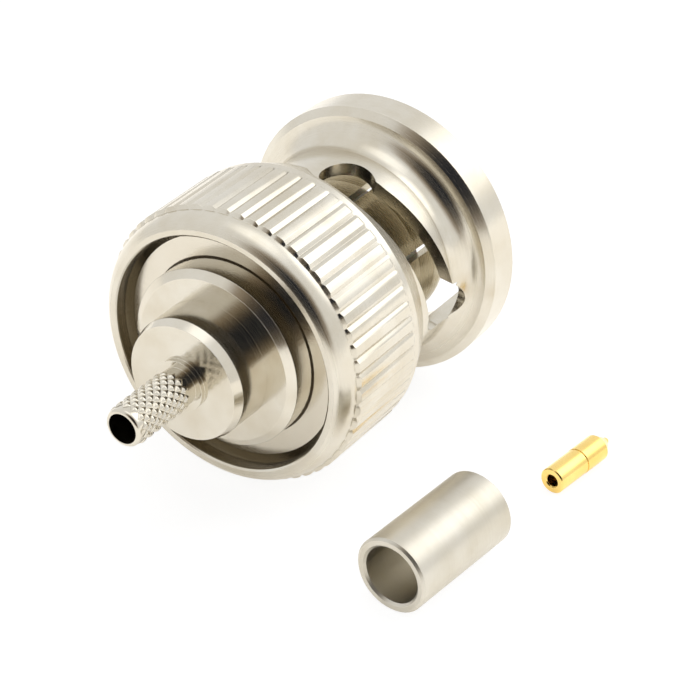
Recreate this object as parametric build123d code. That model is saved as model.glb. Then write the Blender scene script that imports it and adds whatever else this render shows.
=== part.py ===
from build123d import *
from math import cos, pi, radians, sin, tan
import os

# BNC crimp plug with its loose centre contact and crimp ferrule, in millimetres.
# The plug's axis is X, with the mating end towards +X. The origin lies on the axis,
# on the floor of the insulator's front socket.

# Fits and clearances
running_gap = 0.08
axial_gap = 0.02
loose_gap = 0.15
contact_gap = 0.025
insulator_gap = 0.1
braid_space = 0.48

# How far cutting shapes reach past the surfaces they cut
overrun = 0.5

# Outer contact and its spring fingers
finger_diameter = 8.1
finger_wall = 0.5
contact_root_step = 0.25
contact_root_length = 2.5
contact_front = 6.55
finger_count = 6
finger_slot_width = 0.45
finger_slot_angle = 41
finger_slot_rear = -1.4
bead_height = 0.1
bead_rise_length = 1.1
bead_land_length = 0.6
nose_length = 0.75
nose_drop = 0.3

# Coupling sleeve, inside: the mating barrel fits round the fingers, the cavity holds the body's flange
barrel_space = 0.9
shoulder_width = 0.7
retaining_step = 0.45
recess_depth = 1.0
staked_edge_height = 0.3
staked_edge_length = 0.34

# Coupling sleeve, outside
sleeve_front = 7.7
sleeve_length = 14.85
lip_width = 0.375
grip_height = 0.775
rear_dome_length = 1.5
rear_dome_rise = 0.12
dome_edge_drop = 0.13
knurl_length = 4.3
knurl_end_length = 0.12
ridge_count = 56
groove_depth = 0.24
groove_root_width = 0.22
groove_flank_angle = 28
smooth_band_length = 0.38
smooth_band_drop = 0.06
shoulder_bevel_length = 1.2
shoulder_bevel_drop = 0.52
shoulder_face_length = 0.25
neck_wall = 0.7
neck_rear_fillet = 0.45
neck_front_fillet = 1.3
flange_thickness = 1.73
flange_bevel_length = 0.32
flange_bevel_drop = 0.4
edge_break = 0.12

# Bayonet slots, and the channels that let the mating connector's studs in from the front
slot_count = 2
slot_width = 2.35
slot_entry_angle = 192
slot_turn = 91
ramp_turn = 74
ramp_rise = 1.85
ramp_ease = 0.45
ramp_sections = 6
pocket_diameter = 2.8
pocket_centre_ahead = 2.12
channel_width = 2.3
channel_depth = 0.67
notch_setback = 0.67

# Washers and gasket
retaining_washer_thickness = 0.6
thrust_washer_thickness = 0.3
wave_washer_thickness = 0.2
wave_height = 0.9
wave_count = 3
wave_points_per_crest = 8
wave_ring_width = 0.71
gasket_thickness = 0.8
gasket_round = 0.18

# Connector body
body_flange_thickness = 1.0
boss_length = 3.4
boss_chamfer_length = 0.27
boss_chamfer_drop = 0.4

# Insulator
insulator_wall = 0.75
socket_depth = 5.3
insulator_seat_step = 0.3
insulator_shoulder_setback = 0.2
barrel_hole_diameter = 2.0
barrel_hole_depth = 1.8

# Centre contact
pin_diameter = 1.37
pin_length = 4.6
pin_crimp_diameter = 1.34
pin_crimp_length = 2.1
pin_crimp_bore_diameter = 0.62
pin_crimp_bore_depth = 1.7
pin_groove_depth = 0.06
pin_edge_break = 0.06
pin_cone_length = 0.9
pin_tip_radius = 0.19

# Cable stem
stem_step_diameter = 6.26
stem_step_length = 2.37
stem_step_chamfer_length = 0.5
stem_step_chamfer_drop = 0.17
stem_ring_diameter = 2.62
stem_ring_length = 0.25
stem_diameter = 1.94
stem_length = 4.25
stem_tip_round = 0.18
cable_bore_diameter = 1.54

# Crimp ferrule
ferrule_wall = 0.47
ferrule_length = 6.8
ferrule_edge_break = 0.12

# Where the ferrule and the centre contact lie beside the plug: x, y and the turn seen from above
ferrule_place = (-11.12, -12.2)
ferrule_turn = -4.4
pin_place = (0.85, -13.7)
pin_turn = -6

# Diameters that follow, from the fingers outwards and then from the fingers inwards
sleeve_bore_diameter = finger_diameter + 2 * barrel_space
neck_diameter = sleeve_bore_diameter + 2 * neck_wall
cavity_diameter = sleeve_bore_diameter + 2 * shoulder_width
boss_diameter = cavity_diameter - 2 * (wave_ring_width + 2 * loose_gap)
recess_diameter = cavity_diameter + 2 * retaining_step
lip_diameter = recess_diameter + 2 * lip_width
grip_diameter = lip_diameter + 2 * grip_height
finger_bore_diameter = finger_diameter - 2 * finger_wall
contact_root_diameter = finger_bore_diameter - 2 * contact_root_step
insulator_nose_diameter = contact_root_diameter - 2 * insulator_gap
socket_diameter = insulator_nose_diameter - 2 * insulator_wall
ferrule_bore_diameter = stem_diameter + 2 * braid_space
ferrule_outer_diameter = ferrule_bore_diameter + 2 * ferrule_wall

# Stations along the axis
sleeve_rear = sleeve_front - sleeve_length
dome_front = sleeve_rear + rear_dome_length
knurl_front = dome_front + knurl_length
flange_rear = sleeve_front - flange_thickness
washer_rear = sleeve_rear + recess_depth
cavity_rear = washer_rear + retaining_washer_thickness
thrust_washer_rear = cavity_rear + axial_gap
wave_rear = thrust_washer_rear + thrust_washer_thickness + axial_gap
body_flange_rear = wave_rear + wave_height + axial_gap
body_flange_front = body_flange_rear + body_flange_thickness
sleeve_shoulder = body_flange_front + axial_gap
boss_rear = body_flange_rear - boss_length
contact_rear = body_flange_front - contact_root_length
insulator_rear = contact_rear - insulator_seat_step
stem_step_rear = boss_rear - stem_step_length
stem_ring_rear = stem_step_rear - stem_ring_length
stem_rear = stem_ring_rear - stem_length

# The bayonet slot's centre line along the axis, and the radii between which it is cut
level_centre = pocket_centre_ahead - pocket_diameter / 2 + slot_width / 2
entry_centre = level_centre + ramp_rise
cut_inner = sleeve_bore_diameter / 2 - overrun
cut_outer = grip_diameter / 2 + overrun

# The surface that everything lies on
floor_height = -grip_diameter / 2


def turned(points):
    """A solid of revolution about X from its half outline, given as (x, radius) pairs."""
    return revolve(make_face(Polyline(*points, close=True)), Axis.X)


def ring(x_rear, x_front, inner_diameter, outer_diameter):
    """A plain ring between two planes across the axis."""
    half_outline = [
        (x_rear, inner_diameter / 2),
        (x_rear, outer_diameter / 2),
        (x_front, outer_diameter / 2),
        (x_front, inner_diameter / 2),
    ]
    return turned(half_outline)


def about_axis(shape, angle):
    """The shape turned about the connector's axis; 0 degrees points along +Y."""
    return Rotation(angle, 0, 0) * shape


def straight_cut(x_rear, x_front, y_inner, y_outer, width):
    """A box on the +Y side of the axis, centred on it."""
    place = Pos((x_rear + x_front) / 2, (y_inner + y_outer) / 2, 0)
    return place * Box(x_front - x_rear, y_outer - y_inner, width)


def round_cut(x, y_inner, y_outer, inner_diameter, outer_diameter):
    """A round or conical shape that stands on the axis and points along +Y."""
    base = Plane((x, y_inner, 0), z_dir=(0, 1, 0))
    height = y_outer - y_inner
    if inner_diameter == outer_diameter:
        return Solid.make_cylinder(inner_diameter / 2, height, base)
    return Solid.make_cone(inner_diameter / 2, outer_diameter / 2, height, base)


def sleeve_outline():
    """The sleeve's turned section: rear lip, dome, grip, bevel, neck, flange, bore and cavity."""
    recess = recess_diameter / 2
    lip = lip_diameter / 2
    grip = grip_diameter / 2
    dome_edge = grip - dome_edge_drop
    dome_middle = (sleeve_rear + rear_dome_length / 2, (lip + dome_edge) / 2 + rear_dome_rise)
    band = grip - smooth_band_drop
    neck = neck_diameter / 2
    bore = sleeve_bore_diameter / 2
    bevel_rear = knurl_front + smooth_band_length
    bevel_front = bevel_rear + shoulder_bevel_length
    neck_rear = bevel_front + shoulder_face_length + neck_rear_fillet
    bevel_end = (flange_rear - flange_bevel_length, grip - flange_bevel_drop)
    neck_front = bevel_end[0] - neck_front_fillet
    outside = [
        Line((sleeve_rear, recess + edge_break), (sleeve_rear, lip)),
        ThreePointArc((sleeve_rear, lip), dome_middle, (dome_front, dome_edge)),
        Polyline(
            (dome_front, dome_edge),
            (dome_front + knurl_end_length, grip),
            (knurl_front - knurl_end_length, grip),
            (knurl_front, band),
            (bevel_rear, band),
            (bevel_front, band - shoulder_bevel_drop),
            (neck_rear - neck_rear_fillet, neck + neck_rear_fillet),
        ),
        TangentArc(
            (neck_rear - neck_rear_fillet, neck + neck_rear_fillet),
            (neck_rear, neck),
            tangent=(0, -1),
        ),
        Line((neck_rear, neck), (neck_front, neck)),
        TangentArc((neck_front, neck), bevel_end, tangent=(1, 0)),
        Polyline(
            bevel_end,
            (flange_rear, grip),
            (sleeve_front - edge_break, grip),
            (sleeve_front, grip - edge_break),
            (sleeve_front, bore + edge_break),
            (sleeve_front - edge_break, bore),
            (sleeve_shoulder, bore),
            (sleeve_shoulder, cavity_diameter / 2),
            (cavity_rear, cavity_diameter / 2),
            (cavity_rear, recess),
            (washer_rear, recess),
            (washer_rear, recess - staked_edge_height),
            (washer_rear - staked_edge_length, recess),
            (sleeve_rear + edge_break, recess),
            (sleeve_rear, recess + edge_break),
        ),
    ]
    return make_face(Curve() + outside)


def knurl_grooves():
    """The straight grooves that leave the grip's ridges standing; they run out in the dome."""
    root_radius = grip_diameter / 2 - groove_depth
    half_root = groove_root_width / 2
    half_top = half_root + (cut_outer - root_radius) * tan(radians(groove_flank_angle))
    section = make_face(
        Polyline(
            (sleeve_rear, root_radius, -half_root),
            (sleeve_rear, root_radius, half_root),
            (sleeve_rear, cut_outer, half_top),
            (sleeve_rear, cut_outer, -half_top),
            close=True,
        )
    )
    groove = extrude(section, knurl_front - sleeve_rear, dir=(1, 0, 0))
    grooves = []
    for index in range(ridge_count):
        grooves.append(about_axis(groove, index * 360 / ridge_count))
    return grooves


def slot_section(angle, centre):
    """The slot's cut at an angle; its rear wall leans back outside the neck, at 45 degrees."""
    rear = centre - slot_width / 2
    front = centre + slot_width / 2
    neck = neck_diameter / 2
    outline = Polyline(
        (rear, cut_inner),
        (rear, neck),
        (rear - (cut_outer - neck), cut_outer),
        (front, cut_outer),
        (front, cut_inner),
        close=True,
    )
    return about_axis(make_face(outline), angle)


def slot_run():
    """The slot from the lock pocket to the entry: a level stretch, then the helical ramp."""
    pocket_angle = slot_entry_angle - slot_turn
    ramp_angle = slot_entry_angle - ramp_turn
    level = []
    for angle in (pocket_angle, (pocket_angle + ramp_angle) / 2, ramp_angle):
        level.append(slot_section(angle, level_centre))
    ramp = [level[-1]]
    for index in range(1, ramp_sections + 1):
        part = index / ramp_sections
        rise = ramp_rise * ((1 - ramp_ease) * part + ramp_ease * part**2)
        ramp.append(slot_section(ramp_angle + ramp_turn * part, level_centre + rise))
    return loft(level, ruled=False) + loft(ramp, ruled=False)


def lock_pocket():
    """The round pocket that the stud snaps into; it flares into the shoulder behind it."""
    neck = neck_diameter / 2
    reach = cut_outer - neck
    flared = round_cut(pocket_centre_ahead, neck, cut_outer, pocket_diameter, pocket_diameter + 2 * reach)
    behind = straight_cut(
        pocket_centre_ahead - 2 * pocket_diameter,
        pocket_centre_ahead,
        neck,
        cut_outer,
        4 * pocket_diameter,
    )
    pocket = round_cut(pocket_centre_ahead, cut_inner, cut_outer, pocket_diameter, pocket_diameter)
    return pocket + (flared & behind)


def stud_entry():
    """The slot's front end: its round start, the notch up to the flange and the inner channel."""
    notch_round = flange_rear - notch_setback - channel_width / 2
    channel_top = sleeve_bore_diameter / 2 + channel_depth
    entry = round_cut(entry_centre, cut_inner, cut_outer, slot_width, slot_width)
    entry += straight_cut(entry_centre, notch_round, cut_inner, cut_outer, channel_width)
    entry += round_cut(notch_round, cut_inner, cut_outer, channel_width, channel_width)
    entry += straight_cut(entry_centre, sleeve_front + overrun, 0, channel_top, channel_width)
    return entry


def coupling_sleeve():
    """The turned, knurled and milled sleeve that the hand turns."""
    sleeve = revolve(sleeve_outline(), Axis.X)
    sleeve -= knurl_grooves()
    slot = slot_run()
    slot += about_axis(lock_pocket(), slot_entry_angle - slot_turn)
    slot += about_axis(stud_entry(), slot_entry_angle)
    for index in range(slot_count):
        sleeve -= about_axis(slot, index * 360 / slot_count)
    return sleeve


def retaining_washer():
    """The washer staked into the sleeve's rear; its hole turns on the body's boss."""
    return ring(washer_rear, cavity_rear, boss_diameter + 2 * running_gap, recess_diameter)


def thrust_washer():
    """The flat washer between the wave washer and the retaining washer."""
    front = thrust_washer_rear + thrust_washer_thickness
    inner_diameter = boss_diameter + 2 * running_gap
    outer_diameter = cavity_diameter - 2 * running_gap
    return ring(thrust_washer_rear, front, inner_diameter, outer_diameter)


def wave_edge(radius, middle, amplitude):
    """A closed wavy curve round the axis."""
    points = []
    steps = wave_count * wave_points_per_crest
    for index in range(steps):
        angle = 2 * pi * index / steps
        x = middle + amplitude * cos(wave_count * angle)
        points.append((x, radius * cos(angle), radius * sin(angle)))
    return Edge.make_spline(points, periodic=True)


def wave_washer():
    """The spring: a thin flat ring bent into waves."""
    inner = boss_diameter / 2 + loose_gap
    outer = inner + wave_ring_width
    half_thickness = wave_washer_thickness / 2
    middle = wave_rear + wave_height / 2
    amplitude = wave_height / 2 - half_thickness
    rear_edges = []
    front_edges = []
    for radius in (inner, outer):
        rear_edges.append(wave_edge(radius, middle - half_thickness, amplitude))
        front_edges.append(wave_edge(radius, middle + half_thickness, amplitude))
    faces = [
        Face.make_surface_from_curves(*rear_edges),
        Face.make_surface_from_curves(*front_edges),
        Face.make_surface_from_curves(rear_edges[0], front_edges[0]),
        Face.make_surface_from_curves(rear_edges[1], front_edges[1]),
    ]
    return Solid(Shell(faces))


def connector_body():
    """The body: rear boss, the flange trapped in the sleeve, and the bores for what it holds."""
    boss = boss_diameter / 2
    flange = cavity_diameter / 2 - running_gap
    half_outline = [
        (boss_rear, stem_step_diameter / 2),
        (boss_rear, boss - boss_chamfer_drop),
        (boss_rear + boss_chamfer_length, boss),
        (body_flange_rear, boss),
        (body_flange_rear, flange),
        (body_flange_front, flange),
        (body_flange_front, finger_diameter / 2),
        (contact_rear, finger_diameter / 2),
        (contact_rear, contact_root_diameter / 2),
        (insulator_rear, contact_root_diameter / 2),
        (insulator_rear, stem_step_diameter / 2),
    ]
    return turned(half_outline)


def outer_contact():
    """The tube whose front is slotted into spring fingers with a bead and a rounded nose."""
    outer = finger_diameter / 2
    crest = outer + bead_height
    bore = finger_bore_diameter / 2
    root_bore = contact_root_diameter / 2
    nose_rear = contact_front - nose_length
    bead_rear = nose_rear - bead_land_length
    outline = [
        Polyline(
            (contact_rear, root_bore),
            (contact_rear, outer),
            (bead_rear - bead_rise_length, outer),
            (bead_rear, crest),
            (nose_rear, crest),
        ),
        TangentArc((nose_rear, crest), (contact_front, crest - nose_drop), tangent=(1, 0)),
        Polyline(
            (contact_front, crest - nose_drop),
            (contact_front, bore),
            (finger_slot_rear, bore),
            (finger_slot_rear, root_bore),
            (contact_rear, root_bore),
        ),
    ]
    contact = revolve(make_face(Curve() + outline), Axis.X)
    inner_reach = root_bore - overrun
    slot = straight_cut(
        finger_slot_rear, contact_front + overrun, inner_reach, crest + overrun, finger_slot_width
    )
    for index in range(finger_count):
        contact -= about_axis(slot, finger_slot_angle + index * 360 / finger_count)
    return contact


def insulator():
    """The white bush: a root seated in the outer contact, and the open front socket."""
    root = contact_root_diameter / 2
    nose = insulator_nose_diameter / 2
    shoulder = finger_slot_rear - insulator_shoulder_setback
    pin_hole = pin_diameter / 2 + contact_gap
    barrel_front = insulator_rear + barrel_hole_depth
    half_outline = [
        (insulator_rear, barrel_hole_diameter / 2),
        (insulator_rear, root),
        (shoulder, root),
        (shoulder, nose),
        (socket_depth - edge_break, nose),
        (socket_depth, nose - edge_break),
        (socket_depth, socket_diameter / 2),
        (0, socket_diameter / 2),
        (0, pin_hole),
        (barrel_front, pin_hole),
        (barrel_front, barrel_hole_diameter / 2),
    ]
    return turned(half_outline)


def gasket():
    """The soft ring that the mating connector's barrel presses on."""
    outer_diameter = sleeve_bore_diameter - 2 * loose_gap
    front = body_flange_front + gasket_thickness
    soft_ring = ring(body_flange_front, front, finger_diameter, outer_diameter)
    front_edges = soft_ring.edges().filter_by(GeomType.CIRCLE).group_by(Axis.X)[-1]
    return fillet(front_edges, gasket_round)


def cable_stem():
    """The rear step with the stem that the cable's braid is crimped on, without its fine knurl."""
    step = stem_step_diameter / 2
    stem = stem_diameter / 2
    bore = cable_bore_diameter / 2
    outline = [
        Polyline(
            (insulator_rear, bore),
            (insulator_rear, step),
            (stem_step_rear + stem_step_chamfer_length, step),
            (stem_step_rear, step - stem_step_chamfer_drop),
            (stem_step_rear, stem_ring_diameter / 2),
            (stem_ring_rear, stem_ring_diameter / 2),
            (stem_ring_rear, stem),
            (stem_rear + stem_tip_round, stem),
        ),
        TangentArc(
            (stem_rear + stem_tip_round, stem),
            (stem_rear, stem - stem_tip_round),
            tangent=(-1, 0),
        ),
        Polyline(
            (stem_rear, stem - stem_tip_round),
            (stem_rear, bore),
            (insulator_rear, bore),
        ),
    ]
    return revolve(make_face(Curve() + outline), Axis.X)


def lying(shape, place, turn, diameter):
    """A round piece laid down on the surface that the plug lies on."""
    return Pos(place[0], place[1], floor_height + diameter / 2) * Rot(0, 0, turn) * shape


def crimp_ferrule():
    """The plain tube that is crimped over the braid."""
    outer = ferrule_outer_diameter / 2
    bore = ferrule_bore_diameter / 2
    half_outline = [
        (0, bore + ferrule_edge_break),
        (0, outer - ferrule_edge_break),
        (ferrule_edge_break, outer),
        (ferrule_length - ferrule_edge_break, outer),
        (ferrule_length, outer - ferrule_edge_break),
        (ferrule_length, bore + ferrule_edge_break),
        (ferrule_length - ferrule_edge_break, bore),
        (ferrule_edge_break, bore),
    ]
    return lying(turned(half_outline), ferrule_place, ferrule_turn, ferrule_outer_diameter)


def centre_contact():
    """The turned pin: crimp hole at the rear, a fine groove and shoulder, a rounded cone in front."""
    pin = pin_diameter / 2
    crimp = pin_crimp_diameter / 2
    hole = pin_crimp_bore_diameter / 2
    shoulder = pin_crimp_length + pin_groove_depth
    tip_rear = pin_length - pin_tip_radius
    outline = [
        Polyline(
            (0, hole + pin_edge_break),
            (0, crimp - pin_edge_break),
            (pin_edge_break, crimp),
            (pin_crimp_length, crimp),
            (shoulder, crimp - pin_groove_depth),
            (shoulder, pin),
            (pin_length - pin_cone_length, pin),
            (tip_rear, pin_tip_radius),
        ),
        TangentArc((tip_rear, pin_tip_radius), (pin_length, 0), tangent=(1, 0)),
        Polyline(
            (pin_length, 0),
            (pin_crimp_bore_depth + hole, 0),
            (pin_crimp_bore_depth, hole),
            (pin_edge_break, hole),
            (0, hole + pin_edge_break),
        ),
    ]
    contact = revolve(make_face(Curve() + outline), Axis.X)
    return lying(contact, pin_place, pin_turn, pin_diameter)


makers = [
    coupling_sleeve,
    retaining_washer,
    thrust_washer,
    wave_washer,
    connector_body,
    outer_contact,
    insulator,
    gasket,
    cable_stem,
    crimp_ferrule,
    centre_contact,
]

os.makedirs("parts", exist_ok=True)
for maker in makers:
    export_step(maker(), f"parts/{maker.__name__}.step")
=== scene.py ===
# Looks of the bayonet cable plug, its crimp ferrule and its centre contact, on a white table
from math import cos, pi, radians, sin, tau
import bpy
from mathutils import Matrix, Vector


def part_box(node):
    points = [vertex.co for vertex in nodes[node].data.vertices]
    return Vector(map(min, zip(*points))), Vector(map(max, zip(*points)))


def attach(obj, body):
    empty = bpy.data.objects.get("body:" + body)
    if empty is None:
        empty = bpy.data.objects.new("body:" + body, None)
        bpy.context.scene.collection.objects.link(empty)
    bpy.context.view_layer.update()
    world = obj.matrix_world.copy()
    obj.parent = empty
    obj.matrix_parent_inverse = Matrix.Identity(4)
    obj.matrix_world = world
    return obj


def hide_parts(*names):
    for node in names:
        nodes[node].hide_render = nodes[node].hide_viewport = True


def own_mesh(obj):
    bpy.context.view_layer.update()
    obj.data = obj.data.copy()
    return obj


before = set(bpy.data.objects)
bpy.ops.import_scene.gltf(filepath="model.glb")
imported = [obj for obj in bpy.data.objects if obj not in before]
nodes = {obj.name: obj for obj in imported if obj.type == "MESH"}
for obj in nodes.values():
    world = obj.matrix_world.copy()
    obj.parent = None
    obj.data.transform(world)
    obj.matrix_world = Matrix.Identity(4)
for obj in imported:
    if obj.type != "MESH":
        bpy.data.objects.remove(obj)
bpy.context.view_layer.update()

mm = 0.001

# The camera: a long lens behind and above the plug, where the photographer's stood. Its place and
# direction were fitted to the plug's outline in the photograph.
camera_place = Vector((-90.54, -63.09, 66.68)) * mm
camera_look = Vector((0.7017, 0.4687, -0.5366))
camera = bpy.data.objects.new("camera", bpy.data.cameras.new("camera"))
bpy.context.collection.objects.link(camera)
camera.location = camera_place
camera.rotation_euler = camera_look.to_track_quat("-Z", "Y").to_euler()
camera.data.lens = 135.5
camera.data.sensor_width = 36
camera.data.clip_start = 1 * mm
bpy.context.scene.camera = camera
bpy.context.scene.view_settings.view_transform = "Standard"

# The table: a matt white sheet that stays white in the picture but keeps a faint contact shadow.
# What the metal mirrors of it is a little warmer than what the camera sees.


def new_material(name):
    """An empty material and a function that adds a node to it with its inputs set or linked."""
    material = bpy.data.materials.new(name)
    material.use_nodes = True
    tree = material.node_tree
    tree.nodes.clear()
    return material, node_maker(tree)


def node_maker(tree):
    """Gives a function that adds a node of a kind; an input may be a value or another node's output."""
    def add(kind, inputs=None, **settings):
        node = tree.nodes.new("ShaderNode" + kind)
        for key, value in settings.items():
            setattr(node, key, value)
        for key, value in (inputs or {}).items():
            if isinstance(value, bpy.types.NodeSocket):
                tree.links.new(value, node.inputs[key])
            else:
                node.inputs[key].default_value = value
        return node
    return add


floor_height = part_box("coupling_sleeve")[0].z
table_size = 1.6
paper_grey = (0.8, 0.8, 0.8, 1)
warm_paper = (1, 0.985, 0.96, 1)
warm_glow_strength = 0.34
shadow_paper = (0.22, 0.22, 0.22, 1)
white_glow_strength = 0.87
bpy.ops.mesh.primitive_plane_add(size=table_size, location=(0, 0, floor_height))
table = bpy.context.object
table.name = "table"
table_white, add = new_material("table_white")
paper = add("BsdfDiffuse", {"Color": paper_grey})
mirrored_sheet = add("BsdfDiffuse", {"Color": warm_paper})
mirrored_glow = add("Emission", {"Color": warm_paper, "Strength": warm_glow_strength})
mirrored_paper = add("AddShader", {0: mirrored_sheet.outputs[0], 1: mirrored_glow.outputs[0]})
shown_paper = add("BsdfDiffuse", {"Color": shadow_paper})
paper_glow = add("Emission", {"Color": (1, 1, 1, 1), "Strength": white_glow_strength})
bright_paper = add("AddShader", {0: shown_paper.outputs[0], 1: paper_glow.outputs[0]})
path = add("LightPath")
in_metal = add("Math", {0: path.outputs["Is Glossy Ray"], 1: path.outputs["Is Transmission Ray"]},
               operation="MAXIMUM")
paper_behind = add("MixShader", {0: in_metal.outputs[0], 1: paper.outputs[0], 2: mirrored_paper.outputs[0]})
paper_mix = add("MixShader", {0: path.outputs["Is Camera Ray"], 1: paper_behind.outputs[0],
                              2: bright_paper.outputs[0]})
add("OutputMaterial", {"Surface": paper_mix.outputs[0]})
table.data.materials.append(table_white)

# The white tent round the table: it shows as plain white, and lights the pieces softly from all
# sides with a slightly warmer and dimmer light.


def seen_directly_or_mirrored(add):
    """1 for rays that come from the camera, or from a mirror-like or a clear surface."""
    path = add("LightPath")
    direct = path.outputs["Is Camera Ray"]
    mirrored = add("Math", {0: path.outputs["Is Glossy Ray"], 1: path.outputs["Is Transmission Ray"]},
                   operation="MAXIMUM")
    return add("Math", {0: direct, 1: mirrored.outputs[0]}, operation="MAXIMUM").outputs[0]


tent_light_colour = (1, 0.99, 0.97, 1)
tent_light_strength = 0.62
tent = bpy.data.worlds.new("tent")
tent.use_nodes = True
tent.node_tree.nodes.clear()
bpy.context.scene.world = tent
add = node_maker(tent.node_tree)
tent_white = add("Background", {"Color": (1, 1, 1, 1), "Strength": 1})
tent_light = add("Background", {"Color": tent_light_colour, "Strength": tent_light_strength})
tent_mix = add("MixShader", {0: seen_directly_or_mirrored(add), 1: tent_light.outputs[0],
                             2: tent_white.outputs[0]})
add("OutputWorld", {"Surface": tent_mix.outputs[0]})

# Two softboxes: one ahead of the plug's mating end and to its right, one overhead. Each has a lamp,
# and a cloth that glows brightest in the middle, which is what the metal mirrors.
cloth_reach = 0.85
cloth_ramp = (0.25, 0.95)
cloth_tint = (1, 1, 0.99)


def glow_card(name, place, radius, stops):
    """A round card that only the metal sees; stops give its colour from the middle to the rim."""
    bpy.ops.object.select_all(action="DESELECT")
    bpy.ops.mesh.primitive_circle_add(vertices=64, radius=radius, fill_type="NGON", location=place,
                                      rotation=place.to_track_quat("Z", "Y").to_euler())
    card = bpy.context.object
    card.name = name
    card.visible_camera = False
    card.visible_shadow = False
    card.visible_diffuse = False
    shine, add = new_material(name)
    middle = add("VectorMath", {0: add("TexCoord").outputs["Object"]}, operation="LENGTH")
    outward = add("Math", {0: middle.outputs["Value"], 1: radius}, operation="DIVIDE")
    ramp = add("ValToRGB", {0: outward.outputs[0]})
    ramp.color_ramp.interpolation = "EASE"
    ramp.color_ramp.elements[0].color = (*stops[0][1], 1)
    ramp.color_ramp.elements[0].position = stops[0][0]
    ramp.color_ramp.elements[1].color = (*stops[-1][1], 1)
    ramp.color_ramp.elements[1].position = stops[-1][0]
    for position, colour in stops[1:-1]:
        ramp.color_ramp.elements.new(position).color = (*colour, 1)
    glow = add("Emission", {"Color": ramp.outputs[0], "Strength": 1})
    add("OutputMaterial", {"Surface": glow.outputs[0]})
    card.data.materials.append(shine)


def softbox(name, direction, distance, size, brightness):
    """A square lamp that faces the plug, and the soft-edged glow of its cloth in the metal."""
    place = Vector(direction).normalized() * distance
    lamp = bpy.data.lights.new(name, "AREA")
    lamp.size = size
    lamp.energy = brightness * pi * size**2
    holder = bpy.data.objects.new(name, lamp)
    bpy.context.collection.objects.link(holder)
    holder.location = place
    holder.rotation_euler = (-place).to_track_quat("-Z", "Y").to_euler()
    holder.visible_glossy = False
    core = tuple(brightness * part for part in cloth_tint)
    core_end, cloth_end = cloth_ramp
    glow_card(name + "_glow", place, size * cloth_reach, ((core_end, core), (cloth_end, (1, 1, 1))))


softbox("front_softbox", (0.66, -0.42, 0.62), 0.40, 0.30, 2.2)
softbox("top_softbox", (0.10, 0.05, 1.0), 0.42, 0.28, 1.6)

# The dark lens and the dim room round it, seen through the opening in the tent: the metal shows
# them as a blue-black spot with a brown rim.
opening_radius = 150 * mm
opening_back = 22 * mm
opening_shift = Vector((-15.0, 9.7, -11.1)) * mm
lens_colour = (0.010, 0.014, 0.024)
room_dark = (0.10, 0.08, 0.058)
room_light = (0.33, 0.27, 0.20)
glow_card("lens_opening", camera_place - camera_look * opening_back + opening_shift, opening_radius,
          ((0.27, lens_colour), (0.40, room_dark), (0.62, room_light), (1.0, (1, 1, 1))))

# Coupling sleeve: brass turned on a lathe, straight-knurled for grip, milled with two bayonet
# slots and plated with bright nickel. The cutter's fine rings still show through the plating.
nickel = (0.68, 0.645, 0.565)
nickel_warm = (0.61, 0.56, 0.46)
rubbed_brighter = 1.12
cloud_size = 2.2 * mm
grain_size = 0.04 * mm
grain_depth = 0.0003 * mm
smoothest = 0.8
roughest = 1.25


def piece_space(add, centre, turn):
    """The position on a piece, measured from its own centre and along its own axis X."""
    place = add("TexCoord").outputs["Object"]
    shift = add("Mapping", {"Vector": place, "Location": centre, "Rotation": (0, 0, radians(turn))},
                vector_type="TEXTURE")
    return shift.outputs[0]


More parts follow.
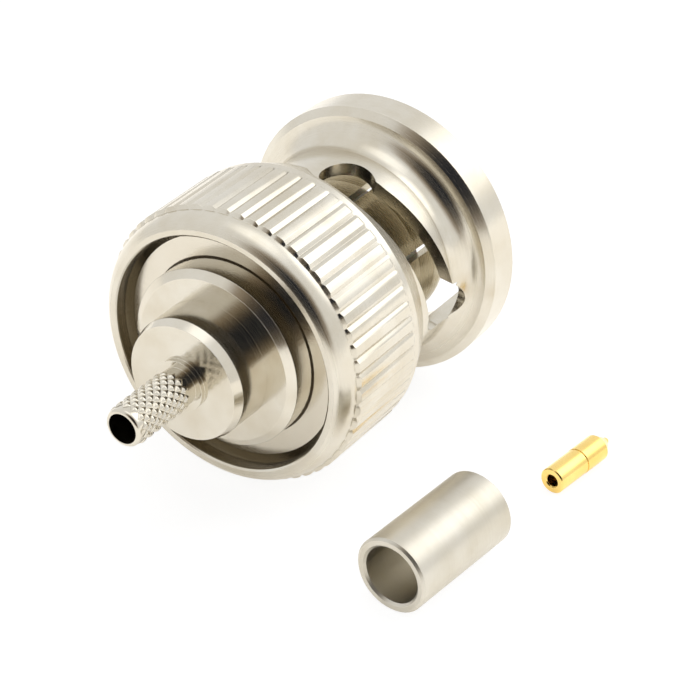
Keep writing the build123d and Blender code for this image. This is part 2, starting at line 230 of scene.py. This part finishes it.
def turned_metal(name, colour, second, roughness, ring_pitch=0.05 * mm, ring_depth=0.0005 * mm,
                 edge_round=0.03 * mm, centre=(0, 0, 0), turn=0, painted_recess_shade=None):
    """Plated metal turned about X: fine tool rings, cloudy colour and rubbed bright edges; an optional
    painted shade darkens the inside of a recess.
    """
    material, add = new_material(name)
    place = piece_space(add, centre, turn)
    split = add("SeparateXYZ", {0: place})
    across = add("CombineXYZ", {"Y": split.outputs["Y"], "Z": split.outputs["Z"]})
    radius = add("VectorMath", {0: across.outputs[0]}, operation="LENGTH")
    ring_space = add("CombineXYZ", {"X": split.outputs["X"], "Y": radius.outputs["Value"]})
    rings = add("TexNoise", {"Vector": ring_space.outputs[0], "Scale": 1 / ring_pitch, "Detail": 3,
                             "Roughness": 0.6}, noise_dimensions="2D")
    grain = add("TexNoise", {"Vector": place, "Scale": 1 / grain_size, "Detail": 2})
    clouds = add("TexNoise", {"Vector": place, "Scale": 1 / cloud_size, "Detail": 4, "Roughness": 0.55})
    cloud_ramp = add("ValToRGB", {0: clouds.outputs["Fac"]})
    cloud_ramp.color_ramp.elements[0].position = 0.35
    cloud_ramp.color_ramp.elements[1].position = 0.7
    soft_edge = add("Bevel", {"Radius": edge_round}, samples=4)
    face = add("NewGeometry")
    likeness = add("VectorMath", {0: soft_edge.outputs[0], 1: face.outputs["Normal"]},
                   operation="DOT_PRODUCT")
    edge = add("MapRange", {"Value": likeness.outputs["Value"], "From Min": 0.999, "From Max": 0.93})
    base = add("Mix", {"Factor": cloud_ramp.outputs[0], 6: (*colour, 1), 7: (*second, 1)}, data_type="RGBA")
    rubbed = tuple(min(1, part * rubbed_brighter) for part in colour)
    worn_and_shaded = add("Mix", {"Factor": edge.outputs[0], 6: base.outputs[2], 7: (*rubbed, 1)}, data_type="RGBA")
    # Painted shade: inside the given radius and behind the given x, the colour becomes a dark brown, which
    # stands for the shade deep in the recess.
    if painted_recess_shade:
        radius_limit, x_limit, dark_recess_tone = painted_recess_shade
        inner = add("Math", {0: radius.outputs["Value"], 1: radius_limit}, operation="LESS_THAN")
        behind = add("Math", {0: split.outputs["X"], 1: x_limit}, operation="LESS_THAN")
        inside = add("Math", {0: inner.outputs[0], 1: behind.outputs[0]}, operation="MULTIPLY")
        worn_and_shaded = add("Mix", {"Factor": inside.outputs[0], 6: worn_and_shaded.outputs[2], 7: (*dark_recess_tone, 1)},
                   data_type="RGBA")
    rough = add("MapRange", {"Value": rings.outputs["Fac"], "From Min": 0.3, "From Max": 0.7,
                             "To Min": roughness * smoothest, "To Max": roughness * roughest})
    ring_bump = add("Bump", {"Height": rings.outputs["Fac"], "Distance": ring_depth, "Strength": 1,
                             "Normal": soft_edge.outputs[0]})
    grain_bump = add("Bump", {"Height": grain.outputs["Fac"], "Distance": grain_depth, "Strength": 1,
                              "Normal": ring_bump.outputs[0]})
    metal = add("BsdfPrincipled", {"Base Color": worn_and_shaded.outputs[2], "Metallic": 1,
                                   "Roughness": rough.outputs[0], "Normal": grain_bump.outputs[0]})
    add("OutputMaterial", {"Surface": metal.outputs[0]})
    return material


def dress(node, material):
    """Gives a CAD piece its finish, in place of the plain one it came with."""
    slots = nodes[node].material_slots
    if not slots:
        nodes[node].data.materials.append(material)
    for slot in slots:
        slot.material = material


# Painted shade: the inside of the sleeve's rear recess, behind recess_front, is painted dark brown for the
# shade that falls deep in it.
recess_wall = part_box("retaining_washer")[1].z + 0.05 * mm
recess_front = -6 * mm
recess_shade_colour = (0.12, 0.098, 0.062)
fine_rings = 0.0003 * mm
sleeve_nickel = turned_metal("sleeve_nickel", nickel, nickel_warm, 0.22, ring_depth=fine_rings,
                             painted_recess_shade=(recess_wall, recess_front, recess_shade_colour))
dress("coupling_sleeve", sleeve_nickel)

# The grip of the sleeve, as it is rolled with a knurling wheel: broad crowned ridges between shallow
# grooves, which end in a small step above a rounded rear edge. It is one with the sleeve, and a thin
# skin over the plain grip carries its shape.
ridge_count = 56
points_per_ridge = 8
skin_proud = 0.012 * mm
skin_thickness = 0.05 * mm
groove_depth = 0.12 * mm
ridge_crown = 0.006 * mm
sleeve_low, sleeve_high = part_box("coupling_sleeve")
grip_top = sleeve_high.z + skin_proud
lip_radius = 6.475 * mm
groove_reach = 0.25
skin_smooth_angle = 24
weld_distance = 0.002 * mm
dome_angles = (62, 25, 3)
dome_radii = (1.0 * mm, 1.6 * mm)
dome_steps = 6
step_length = 0.12 * mm
knurl_front = -1.35 * mm
knurl_end_length = 0.12 * mm
band_drop = 0.06 * mm


def turned_skin(name, outline, around, groove, thickness, material):
    """A thin skin turned about X; outline gives (x, radius, share of the groove) from rear to front."""
    rows = len(outline) - 1
    bpy.ops.object.select_all(action="DESELECT")
    bpy.ops.mesh.primitive_grid_add(x_subdivisions=rows, y_subdivisions=around, size=2)
    skin = bpy.context.object
    skin.name = name
    for vertex in skin.data.vertices:
        x, radius, share = outline[round((vertex.co.x + 1) / 2 * rows)]
        angle = (vertex.co.y + 1) / 2 * tau
        radius -= share * groove(angle)
        vertex.co = (x, radius * cos(angle), radius * sin(angle))
    bpy.ops.object.mode_set(mode="EDIT")
    bpy.ops.mesh.select_all(action="SELECT")
    bpy.ops.mesh.remove_doubles(threshold=weld_distance)
    bpy.ops.mesh.normals_make_consistent(inside=False)
    bpy.ops.object.mode_set(mode="OBJECT")
    backing = skin.modifiers.new("backing", "SOLIDIFY")
    backing.thickness = thickness
    backing.offset = -1
    bpy.ops.object.modifier_apply(modifier=backing.name)
    bpy.ops.object.shade_smooth_by_angle(angle=radians(skin_smooth_angle))
    skin.data.materials.append(material)
    return skin


def knurl_cut(angle):
    """How deep the knurl's surface lies below its ridge tops at an angle."""
    from_groove = abs((angle / tau * ridge_count + 0.5) % 1 - 0.5)
    if from_groove < groove_reach:
        return groove_depth * (1 - from_groove / groove_reach)
    return -ridge_crown * (from_groove - groove_reach) / groove_reach


dome_x = sleeve_low.x
dome_radius = lip_radius + skin_proud / 2
grip_outline = [(dome_x, dome_radius, 0)]
for start, end, bend in zip(dome_angles, dome_angles[1:], dome_radii):
    for step in range(dome_steps):
        before = radians(start + (end - start) * step / dome_steps)
        after = radians(start + (end - start) * (step + 1) / dome_steps)
        dome_x += bend * (sin(before) - sin(after))
        dome_radius += bend * (cos(after) - cos(before))
        grip_outline.append((dome_x, dome_radius, 0))
grip_outline += [
    (dome_x + step_length, grip_top, 1),
    (knurl_front - knurl_end_length, grip_top, 1),
    (knurl_front, grip_top - band_drop, 0),
    (knurl_front + knurl_end_length / 2, grip_top - band_drop, 0),
]
knurled_grip = turned_skin("knurled_grip", grip_outline, ridge_count * points_per_ridge, knurl_cut,
                           skin_thickness, sleeve_nickel)
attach(knurled_grip, "coupling")

# Retaining and thrust washers: flat rings punched from rolled sheet and nickel plated, so their
# faces have straight rolling marks. The retaining one is pressed into the rear of the sleeve.
rolling_turn = 8
rolling_scale = (400, 1200, 24000)
rolling_depth = 0.0016 * mm
washer_cloud_size = 2.5 * mm
washer_edge_round = 0.03 * mm
washer_nickel, add = new_material("washer_nickel")
place = add("TexCoord").outputs["Object"]
rolled = add("Mapping", {"Vector": place, "Rotation": (radians(rolling_turn), 0, 0),
                         "Scale": rolling_scale})
marks = add("TexNoise", {"Vector": rolled.outputs[0], "Scale": 1, "Detail": 4, "Roughness": 0.65})
clouds = add("TexNoise", {"Vector": place, "Scale": 1 / washer_cloud_size, "Detail": 3})
base = add("Mix", {"Factor": clouds.outputs["Fac"], 6: (0.70, 0.66, 0.58, 1), 7: (0.64, 0.59, 0.49, 1)},
           data_type="RGBA")
rough = add("MapRange", {"Value": marks.outputs["Fac"], "From Min": 0.3, "From Max": 0.7,
                         "To Min": 0.17, "To Max": 0.26})
soft_edge = add("Bevel", {"Radius": washer_edge_round}, samples=4)
bump = add("Bump", {"Height": marks.outputs["Fac"], "Distance": rolling_depth, "Strength": 1,
                    "Normal": soft_edge.outputs[0]})
metal = add("BsdfPrincipled", {"Base Color": base.outputs[2], "Metallic": 1, "Roughness": rough.outputs[0],
                               "Normal": bump.outputs[0]})
add("OutputMaterial", {"Surface": metal.outputs[0]})
dress("retaining_washer", washer_nickel)
dress("thrust_washer", washer_nickel)

# Connector body and cable stem: the two turned brass parts that the cable is fixed to. They are
# bright nickel plated, and the stem is pressed into the rear of the body.
body_nickel = turned_metal("body_nickel", nickel, nickel_warm, 0.15)
dress("connector_body", body_nickel)
dress("cable_stem", body_nickel)

# Painted shade in the gap: a thin dark brown ring set into the gap between the body's boss and the
# retaining washer, which stands for the shade in that gap. It stays with the body when the sleeve is pulled
# forward.
boss_radius = 4.64 * mm
gap_shade_ring_edges = (boss_radius + 0.01 * mm, boss_radius + 0.065 * mm)
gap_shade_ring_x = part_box("retaining_washer")[0].x + 0.05 * mm
gap_shade_ring_corners = 96
gap_shade_cloud_size = 0.6 * mm
painted_gap_shade, add = new_material("painted_gap_shade")
place = add("TexCoord").outputs["Object"]
cloud = add("TexNoise", {"Vector": place, "Scale": 1 / gap_shade_cloud_size, "Detail": 3})
base = add("Mix", {"Factor": cloud.outputs["Fac"], 6: (0.085, 0.055, 0.022, 1), 7: (0.16, 0.11, 0.05, 1)},
           data_type="RGBA")
rough = add("MapRange", {"Value": cloud.outputs["Fac"], "To Min": 0.3, "To Max": 0.6})
gap_shade_surface = add("BsdfPrincipled", {"Base Color": base.outputs[2], "Roughness": rough.outputs[0]})
add("OutputMaterial", {"Surface": gap_shade_surface.outputs[0]})
gap_shade_ring_outline = [(gap_shade_ring_x, radius, 0) for radius in gap_shade_ring_edges]
gap_shade_ring = turned_skin("gap_shade_ring", gap_shade_ring_outline, gap_shade_ring_corners, knurl_cut,
                         skin_thickness, painted_gap_shade)
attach(gap_shade_ring, "plug")

# Outer contact: a tube turned from spring bronze and slotted into six fingers, which press outwards
# on the barrel of the jack. It is coloured darker and warmer than the sleeve.
contact_nickel = turned_metal("contact_nickel", (0.50, 0.45, 0.34), (0.44, 0.385, 0.27), 0.26,
                              ring_depth=fine_rings / 2)
dress("outer_contact", contact_nickel)

# Insulator: a bush turned from white fluoropolymer, slightly waxy to the touch. It sits in the outer
# contact and holds the centre contact on the axis.
insulator_cloud_size = 1.5 * mm
insulator_grain_size = 0.08 * mm
insulator_grain_depth = 0.002 * mm
insulator_white, add = new_material("insulator_white")
place = add("TexCoord").outputs["Object"]
cloud = add("TexNoise", {"Vector": place, "Scale": 1 / insulator_cloud_size, "Detail": 3})
base = add("Mix", {"Factor": cloud.outputs["Fac"], 6: (0.86, 0.86, 0.83, 1), 7: (0.90, 0.89, 0.87, 1)},
           data_type="RGBA")
grain = add("TexNoise", {"Vector": place, "Scale": 1 / insulator_grain_size, "Detail": 3})
bump = add("Bump", {"Height": grain.outputs["Fac"], "Distance": insulator_grain_depth, "Strength": 1})
rough = add("MapRange", {"Value": grain.outputs["Fac"], "To Min": 0.42, "To Max": 0.6})
plastic = add("BsdfPrincipled", {"Base Color": base.outputs[2], "Roughness": rough.outputs[0],
                                 "Normal": bump.outputs[0], "Subsurface Weight": 0.2,
                                 "Subsurface Scale": 0.3 * mm})
add("OutputMaterial", {"Surface": plastic.outputs[0]})
dress("insulator", insulator_white)

# Gasket: a soft red-brown silicone ring, moulded, that lies round the root of the outer contact. The
# barrel of the jack presses on it and seals the joint.
gasket_grain_size = 0.12 * mm
gasket_grain_depth = 0.006 * mm
gasket_rubber, add = new_material("gasket_rubber")
place = add("TexCoord").outputs["Object"]
grain = add("TexNoise", {"Vector": place, "Scale": 1 / gasket_grain_size, "Detail": 3})
base = add("Mix", {"Factor": grain.outputs["Fac"], 6: (0.40, 0.10, 0.065, 1), 7: (0.50, 0.14, 0.09, 1)},
           data_type="RGBA")
bump = add("Bump", {"Height": grain.outputs["Fac"], "Distance": gasket_grain_depth, "Strength": 1})
rough = add("MapRange", {"Value": grain.outputs["Fac"], "To Min": 0.5, "To Max": 0.75})
rubber = add("BsdfPrincipled", {"Base Color": base.outputs[2], "Roughness": rough.outputs[0],
                                "Normal": bump.outputs[0]})
add("OutputMaterial", {"Surface": rubber.outputs[0]})
dress("gasket", gasket_rubber)

# Wave washer: a ring of bright spring strip bent into waves, held between the body's flange and the
# thrust washer. The sleeve flattens it when it is pulled forward.
spring_smooth_angle = 35
spring_weld = 0.0005 * mm
spring_metal = turned_metal("spring_metal", (0.60, 0.58, 0.53), (0.55, 0.52, 0.46), 0.28)
bpy.ops.object.select_all(action="DESELECT")
wave_spring = nodes["wave_washer"].copy()
wave_spring.data = nodes["wave_washer"].data.copy()
wave_spring.name = "wave_spring"
wave_spring.parent = None
bpy.context.collection.objects.link(wave_spring)
wave_spring.data.materials.clear()
wave_spring.data.materials.append(spring_metal)
bpy.context.view_layer.objects.active = wave_spring
wave_spring.select_set(True)
bpy.ops.object.mode_set(mode="EDIT")
bpy.ops.mesh.select_all(action="SELECT")
bpy.ops.mesh.remove_doubles(threshold=spring_weld)
bpy.ops.object.mode_set(mode="OBJECT")
bpy.ops.object.shade_smooth_by_angle(angle=radians(spring_smooth_angle))
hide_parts("wave_washer")
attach(wave_spring, "plug")
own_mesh(wave_spring)

# Diamond knurl on the cable stem: two crossing sets of grooves, rolled into the brass before it was
# plated, leave raised diamonds that bite into the braid of the cable.
stem_core = 0.97 * mm
knurl_base = 0.01 * mm
diamond_height = 0.06 * mm
diamond_crown = 0.02 * mm
crown_inset = 0.06 * mm
diamonds_round = 13
diamonds_along = 6
diamond_length = 0.55 * mm
diamond_width = tau * stem_core / diamonds_round
groove_half = 0.08 * mm
knurl_thickness = 0.04 * mm
knurl_smooth_angle = 50
knurl_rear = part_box("cable_stem")[0].x + 0.26 * mm

bpy.ops.object.select_all(action="DESELECT")
bpy.ops.mesh.primitive_circle_add(vertices=4, radius=1, fill_type="NGON")
stem_knurl = bpy.context.object
stem_knurl.name = "stem_knurl"
bpy.ops.object.mode_set(mode="EDIT")
bpy.ops.mesh.select_all(action="SELECT")
bpy.ops.transform.resize(value=(diamond_length / 2, diamond_width / 2, 1))
bpy.ops.transform.translate(value=(knurl_rear + diamond_length / 2, 0, knurl_base))
bpy.ops.mesh.inset(thickness=groove_half, depth=diamond_height)
bpy.ops.mesh.inset(thickness=crown_inset, depth=diamond_crown)
bpy.ops.mesh.select_all(action="SELECT")
bpy.ops.mesh.subdivide(number_cuts=1)
bpy.ops.object.mode_set(mode="OBJECT")
for count, step in (
    (diamonds_round, (0, diamond_width, 0)),
    (diamonds_along, (diamond_length, 0, 0)),
    (2, (diamond_length / 2, diamond_width / 2, 0)),
):
    rows = stem_knurl.modifiers.new("rows", "ARRAY")
    rows.count = count
    rows.use_relative_offset = False
    rows.use_constant_offset = True
    rows.constant_offset_displace = step
    bpy.ops.object.modifier_apply(modifier=rows.name)
for vertex in stem_knurl.data.vertices:
    angle = vertex.co.y / stem_core
    radius = stem_core + vertex.co.z
    vertex.co = (vertex.co.x, radius * cos(angle), radius * sin(angle))
bpy.ops.object.mode_set(mode="EDIT")
bpy.ops.mesh.select_all(action="SELECT")
bpy.ops.mesh.remove_doubles(threshold=weld_distance)
bpy.ops.mesh.normals_make_consistent(inside=False)
bpy.ops.object.mode_set(mode="OBJECT")
backing = stem_knurl.modifiers.new("backing", "SOLIDIFY")
backing.thickness = knurl_thickness
backing.offset = -1
bpy.ops.object.modifier_apply(modifier=backing.name)
bpy.ops.object.shade_smooth_by_angle(angle=radians(knurl_smooth_angle))
stem_knurl.data.materials.append(body_nickel)
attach(stem_knurl, "plug")

# Crimp ferrule: a plain drawn brass tube, annealed so that it crimps, and matt nickel plated. It is
# loose until it is slid over the braid, and lies beside the plug, turned a little.
ferrule_low, ferrule_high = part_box("crimp_ferrule")
ferrule_centre = (ferrule_low + ferrule_high) / 2
ferrule_turn = -4.4
ferrule_nickel = turned_metal("ferrule_nickel", (0.64, 0.61, 0.54), (0.57, 0.53, 0.44), 0.36,
                              ring_pitch=0.12 * mm, centre=ferrule_centre, turn=ferrule_turn)
dress("crimp_ferrule", ferrule_nickel)

# Centre contact: a small pin turned from brass and plated with bright gold, drilled in the rear for
# the cable's inner conductor. It is loose until it is crimped, and lies beside the ferrule.
pin_low, pin_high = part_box("centre_contact")
pin_centre = (pin_low + pin_high) / 2
pin_turn = -6
contact_gold = turned_metal("contact_gold", (0.96, 0.71, 0.25), (0.88, 0.61, 0.18), 0.19,
                            centre=pin_centre, turn=pin_turn)
dress("centre_contact", contact_gold)
